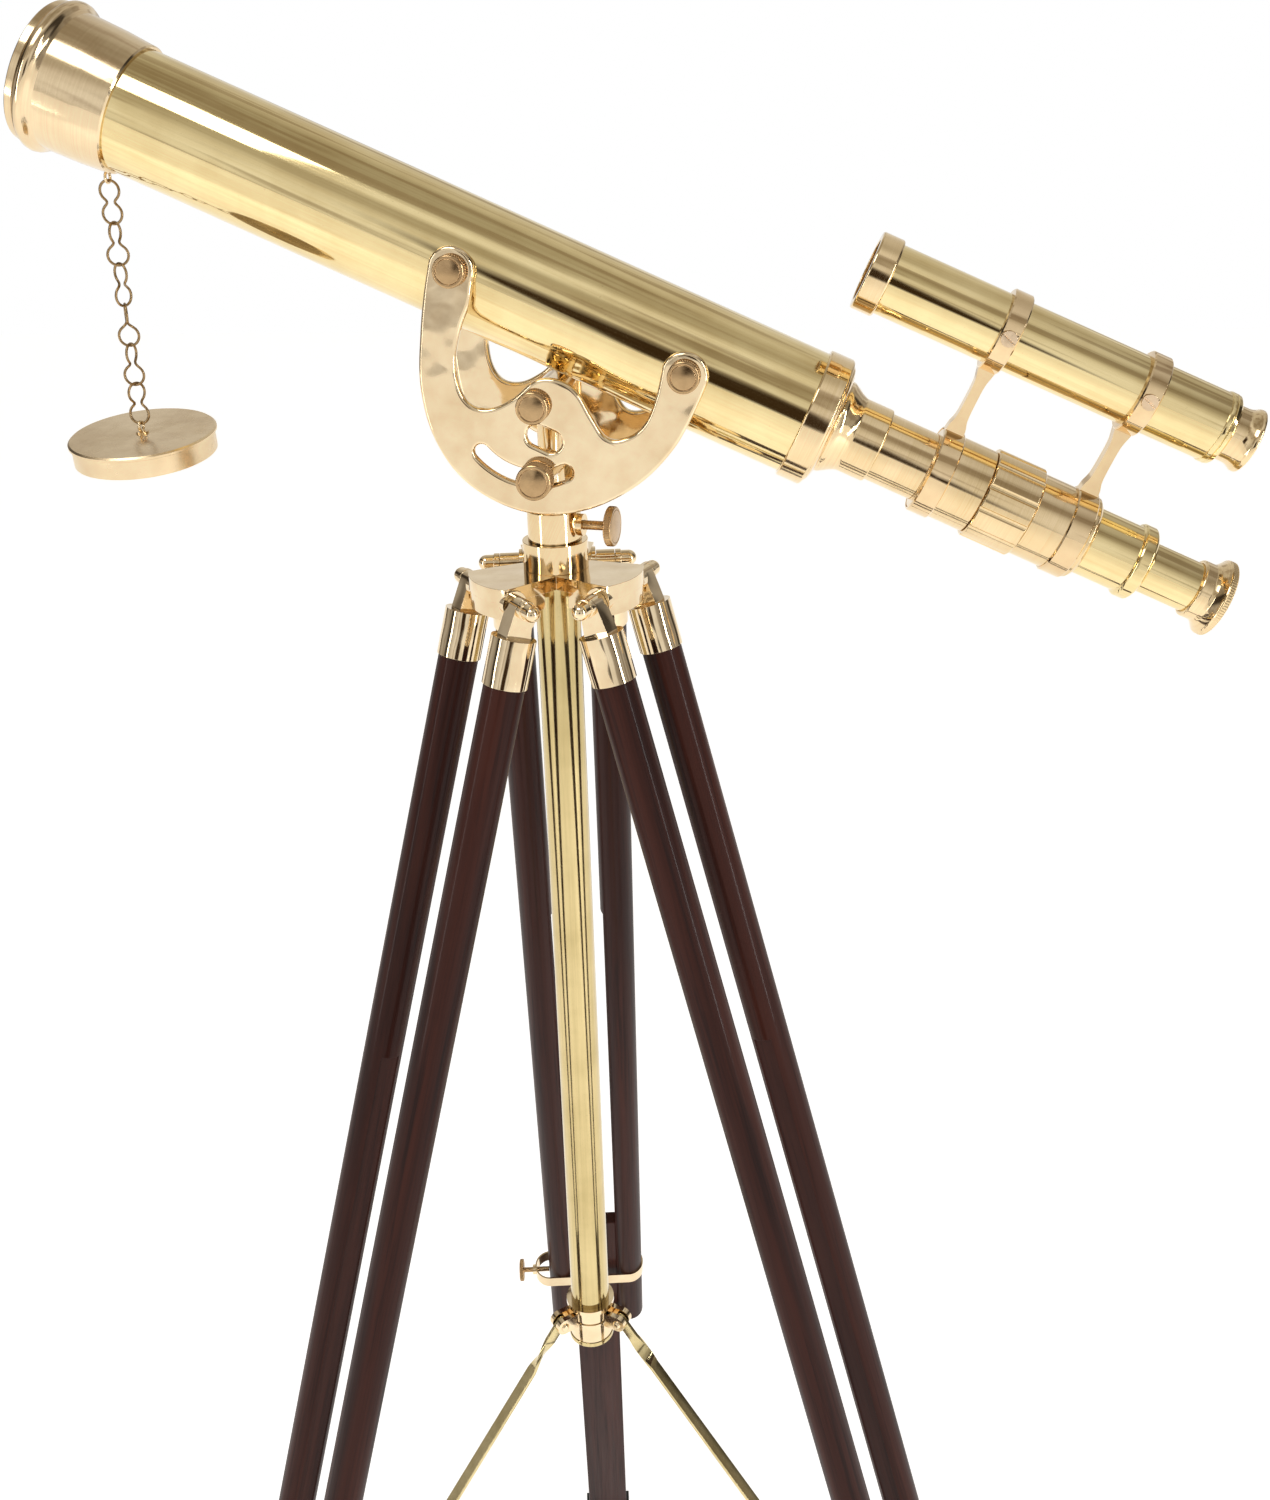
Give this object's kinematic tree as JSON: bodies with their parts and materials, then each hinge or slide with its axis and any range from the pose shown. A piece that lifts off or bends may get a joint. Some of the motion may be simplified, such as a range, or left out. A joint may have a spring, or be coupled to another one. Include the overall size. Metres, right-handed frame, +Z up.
{
  "type": "telescope on tripod",
  "caption": "Brass refracting telescope with finder, cradle and hanging lens cap on a folding wooden tripod with sliding legs and strut spreader.",
  "frame": {"origin": "on the floor, on the axis of the centre column", "axes": "+Z up, +X along the telescope's heading towards the eyepiece, +Y to the left of someone looking forwards through it"},
  "size_m": [0.7517, 0.695, 1.6257],
  "materials": {
    "polished_brass": "polished, light swirl marks",
    "cast_brass": "polished casting, rose gold tint",
    "turned_brass": "turned and knurled, slightly aged",
    "satin_brass": "satin, fine turning marks",
    "stained_wood": "dark mahogany stain, satin lacquer",
    "optical_glass": "coated glass",
    "shoe_rubber": "matt"
  },
  "bodies": {
    "base": {"head_plate": "cast_brass", "hub_post": "polished_brass", "column": "polished_brass", "column_cap": "polished_brass", "leg_bolts": "cast_brass"},
    "azimuth": {"azimuth_sleeve": "polished_brass", "pillar": "polished_brass", "pillar_bolts": "turned_brass", "clamp_nut": "turned_brass"},
    "azimuth_lock": {"azimuth_screw": "turned_brass"},
    "tilt_lock": {"clamp_knob": "turned_brass"},
    "tube": {"cheek_plate_left": "cast_brass", "cheek_plate_right": "cast_brass", "cheek_screws": "turned_brass", "main_tube": "polished_brass", "dew_cap": "satin_brass", "objective_cell": "polished_brass", "objective_lens": "optical_glass", "tube_end_ring": "polished_brass", "rear_bell": "polished_brass", "finder_bracket_front": "polished_brass", "finder_bracket_rear": "polished_brass", "finder_screws": "turned_brass", "finder_tube": "polished_brass", "finder_cell": "polished_brass", "finder_lens": "optical_glass", "focus_housing": "polished_brass"},
    "finder_eyepiece": {"finder_eyecup": "turned_brass", "finder_eye_lens": "optical_glass"},
    "focus_grip": {"focus_ring": "turned_brass"},
    "draw_outer": {"drawtube_1": "polished_brass"},
    "draw_inner": {"drawtube_2": "polished_brass", "eyepiece_cup": "turned_brass", "eye_lens": "optical_glass", "erector_cell": "polished_brass"},
    "cap_chain": {"chain": "satin_brass"},
    "cap": {"lens_cap": "satin_brass"},
    "collar": {"spreader_collar": "cast_brass", "spreader_pins": "cast_brass"},
    "strut_a": {"strut_a": "cast_brass"},
    "leg_a": {"leg_rods_a": "stained_wood", "leg_fittings_a": "cast_brass", "clamp_band_a": "cast_brass"},
    "leg_lock_a": {"clamp_screw_a": "turned_brass"},
    "lower_leg_a": {"leg_board_a": "stained_wood", "foot_tip_a": "shoe_rubber"},
    "strut_b": {"strut_b": "cast_brass"},
    "leg_b": {"leg_rods_b": "stained_wood", "leg_fittings_b": "cast_brass", "clamp_band_b": "cast_brass"},
    "leg_lock_b": {"clamp_screw_b": "turned_brass"},
    "lower_leg_b": {"leg_board_b": "stained_wood", "foot_tip_b": "shoe_rubber"},
    "strut_c": {"strut_c": "cast_brass"},
    "leg_c": {"leg_rods_c": "stained_wood", "leg_fittings_c": "cast_brass", "clamp_band_c": "cast_brass"},
    "leg_lock_c": {"clamp_screw_c": "turned_brass"},
    "lower_leg_c": {"leg_board_c": "stained_wood", "foot_tip_c": "shoe_rubber"}
  },
  "joints": [
    {"name": "azimuth_turn", "type": "hinge", "parent": "base", "child": "azimuth", "pos_m": [0, 0, 1.3], "axis": [0, 0, 1], "continuous": true},
    {"name": "tube_tilt", "type": "hinge", "parent": "azimuth", "child": "tube", "pos_m": [0, 0, 1.3913], "axis": [0, 1, 0], "range_deg": [-50, 22.5]},
    {"name": "azimuth_lock_turn", "type": "hinge", "parent": "azimuth", "child": "azimuth_lock", "pos_m": [0, 0, 1.3074], "axis": [0.9898, -0.1426, 0], "range_deg": [0, 360]},
    {"name": "tilt_lock_turn", "type": "hinge", "parent": "azimuth", "child": "tilt_lock", "pos_m": [0, 0, 1.348], "axis": [0, -1, 0], "range_deg": [0, 360]},
    {"name": "focus_turn", "type": "hinge", "parent": "tube", "child": "focus_grip", "pos_m": [0.27583, 0, 1.32455], "axis": [0.9103, 0, -0.4139], "range_deg": [-180, 180]},
    {"name": "focus_slide", "type": "slide", "parent": "tube", "child": "draw_outer", "axis": [0.9103, 0, -0.4139], "range_m": [-0.012, 0.012]},
    {"name": "draw_slide", "type": "slide", "parent": "draw_outer", "child": "draw_inner", "axis": [0.9103, 0, -0.4139], "range_m": [-0.03, 0.025]},
    {"name": "finder_focus", "type": "slide", "parent": "tube", "child": "finder_eyepiece", "axis": [0.9103, 0, -0.4139], "range_m": [-0.005, 0.008]},
    {"name": "chain_swing", "type": "hinge", "parent": "tube", "child": "cap_chain", "pos_m": [-0.2691, 0, 1.52078], "axis": [0, 1, 0], "range_deg": [-22.5, 50]},
    {"name": "cap_swing", "type": "hinge", "parent": "cap_chain", "child": "cap", "pos_m": [-0.2691, 0, 1.3721], "axis": [0, 1, 0], "range_deg": [-20, 20]},
    {"name": "collar_slide", "type": "slide", "parent": "base", "child": "collar", "axis": [0, 0, 1], "range_m": [0, 0.063]},
    {"name": "leg_fold_a", "type": "hinge", "parent": "base", "child": "leg_a", "pos_m": [-0.0336, -0.02864, 1.269], "axis": [0.6488, -0.761, 0], "range_deg": [0, 11]},
    {"name": "leg_extend_a", "type": "slide", "parent": "leg_a", "child": "lower_leg_a", "axis": [0.2068, 0.1763, 0.9624], "range_m": [0, 0.375]},
    {"name": "leg_lock_turn_a", "type": "hinge", "parent": "leg_a", "child": "leg_lock_a", "pos_m": [-0.20443, -0.17429, 0.47409], "axis": [0.6488, -0.761, 0], "range_deg": [0, 360]},
    {"name": "strut_fold_a", "type": "hinge", "parent": "collar", "child": "strut_a", "pos_m": [-0.01979, -0.01687, 0.6815], "axis": [0.6488, -0.761, 0], "range_deg": [0, 30.5]},
    {"name": "leg_fold_b", "type": "hinge", "parent": "base", "child": "leg_b", "pos_m": [0.04161, -0.01477, 1.269], "axis": [0.3346, 0.9423, 0], "range_deg": [0, 11]},
    {"name": "leg_extend_b", "type": "slide", "parent": "leg_b", "child": "lower_leg_b", "axis": [-0.2561, 0.0909, 0.9624], "range_m": [0, 0.375]},
    {"name": "leg_lock_turn_b", "type": "hinge", "parent": "leg_b", "child": "leg_lock_b", "pos_m": [0.25315, -0.08989, 0.47409], "axis": [0.3346, 0.9423, 0], "range_deg": [0, 360]},
    {"name": "strut_fold_b", "type": "hinge", "parent": "collar", "child": "strut_b", "pos_m": [0.0245, -0.0087, 0.6815], "axis": [0.3346, 0.9423, 0], "range_deg": [0, 30.5]},
    {"name": "leg_fold_c", "type": "hinge", "parent": "base", "child": "leg_c", "pos_m": [-0.00801, 0.04342, 1.269], "axis": [-0.9834, -0.1814, 0], "range_deg": [0, 11]},
    {"name": "leg_extend_c", "type": "slide", "parent": "leg_c", "child": "lower_leg_c", "axis": [0.0493, -0.2673, 0.9624], "range_m": [0, 0.375]},
    {"name": "leg_lock_turn_c", "type": "hinge", "parent": "leg_c", "child": "leg_lock_c", "pos_m": [-0.04872, 0.26418, 0.47409], "axis": [-0.9834, -0.1814, 0], "range_deg": [0, 360]},
    {"name": "strut_fold_c", "type": "hinge", "parent": "collar", "child": "strut_c", "pos_m": [-0.00472, 0.02557, 0.6815], "axis": [-0.9834, -0.1814, 0], "range_deg": [0, 30.5]}
  ],
  "couplings": [
    {"joint": "focus_turn", "follows": "focus_slide", "rad_per_m": 261.8},
    {"joint": "chain_swing", "follows": "tube_tilt", "ratio": -1},
    {"joint": "collar_slide", "follows": "leg_fold_a", "m_per_rad": 0.32304},
    {"joint": "strut_fold_a", "follows": "leg_fold_a", "ratio": 2.7592},
    {"joint": "leg_fold_b", "follows": "leg_fold_a", "ratio": 1},
    {"joint": "strut_fold_b", "follows": "leg_fold_a", "ratio": 2.7592},
    {"joint": "leg_fold_c", "follows": "leg_fold_a", "ratio": 1},
    {"joint": "strut_fold_c", "follows": "leg_fold_a", "ratio": 2.7592}
  ]
}
